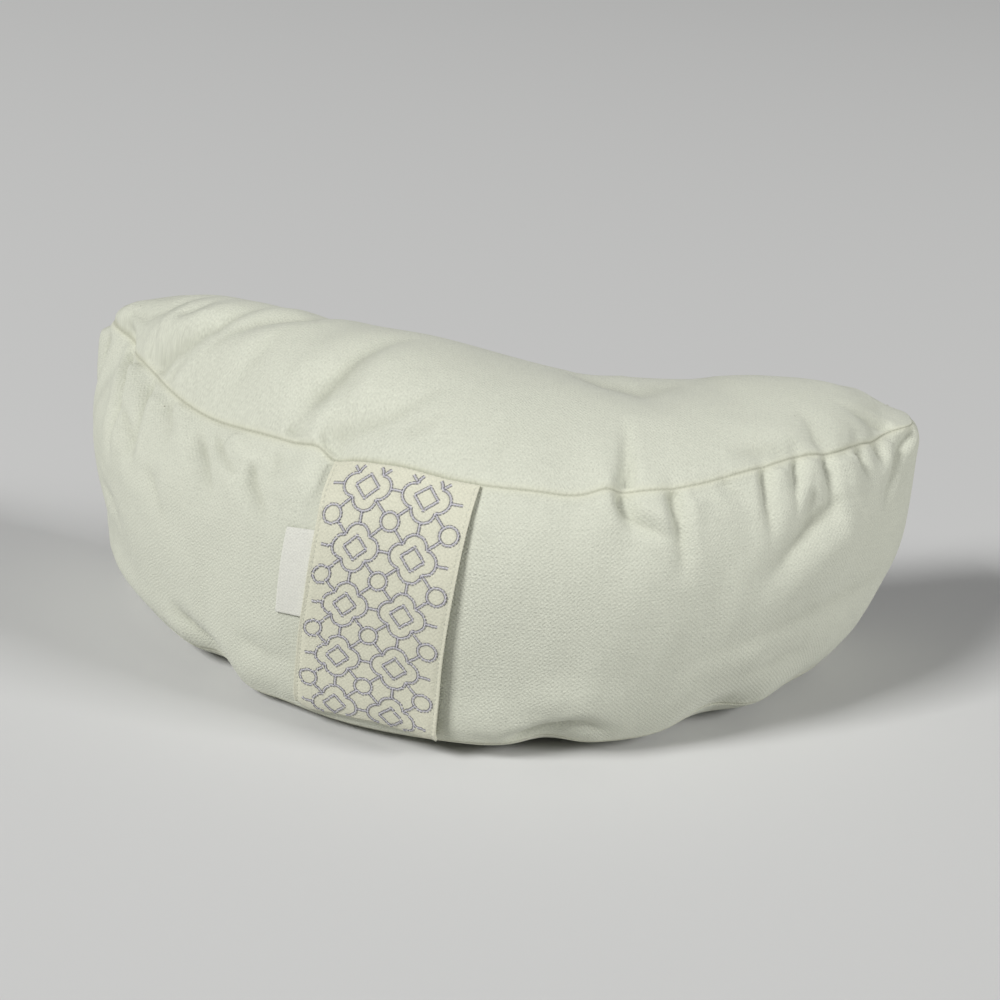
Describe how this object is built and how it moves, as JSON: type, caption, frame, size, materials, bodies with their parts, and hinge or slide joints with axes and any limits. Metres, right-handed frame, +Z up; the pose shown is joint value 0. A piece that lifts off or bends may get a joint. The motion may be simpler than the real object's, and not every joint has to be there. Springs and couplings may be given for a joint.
{
  "type": "crescent meditation cushion",
  "caption": "Filled half-moon cotton floor cushion with a domed top, an upright gathered wall, an embroidered band and a small tape label.",
  "frame": {"origin": "on the floor under the middle of the cushion's bounding box", "axes": "+X from the left horn to the right horn as seen from the bowed side, +Y from the bowed front towards the hollow, +Z up"},
  "size_m": [0.4572, 0.2394, 0.1866],
  "materials": {
    "cover_cotton": "matte",
    "band_cotton": "matte",
    "label_tape": "matte"
  },
  "bodies": {
    "root": {"cushion": "cover_cotton", "embroidered_band": "band_cotton", "label": "label_tape"}
  },
  "joints": []
}
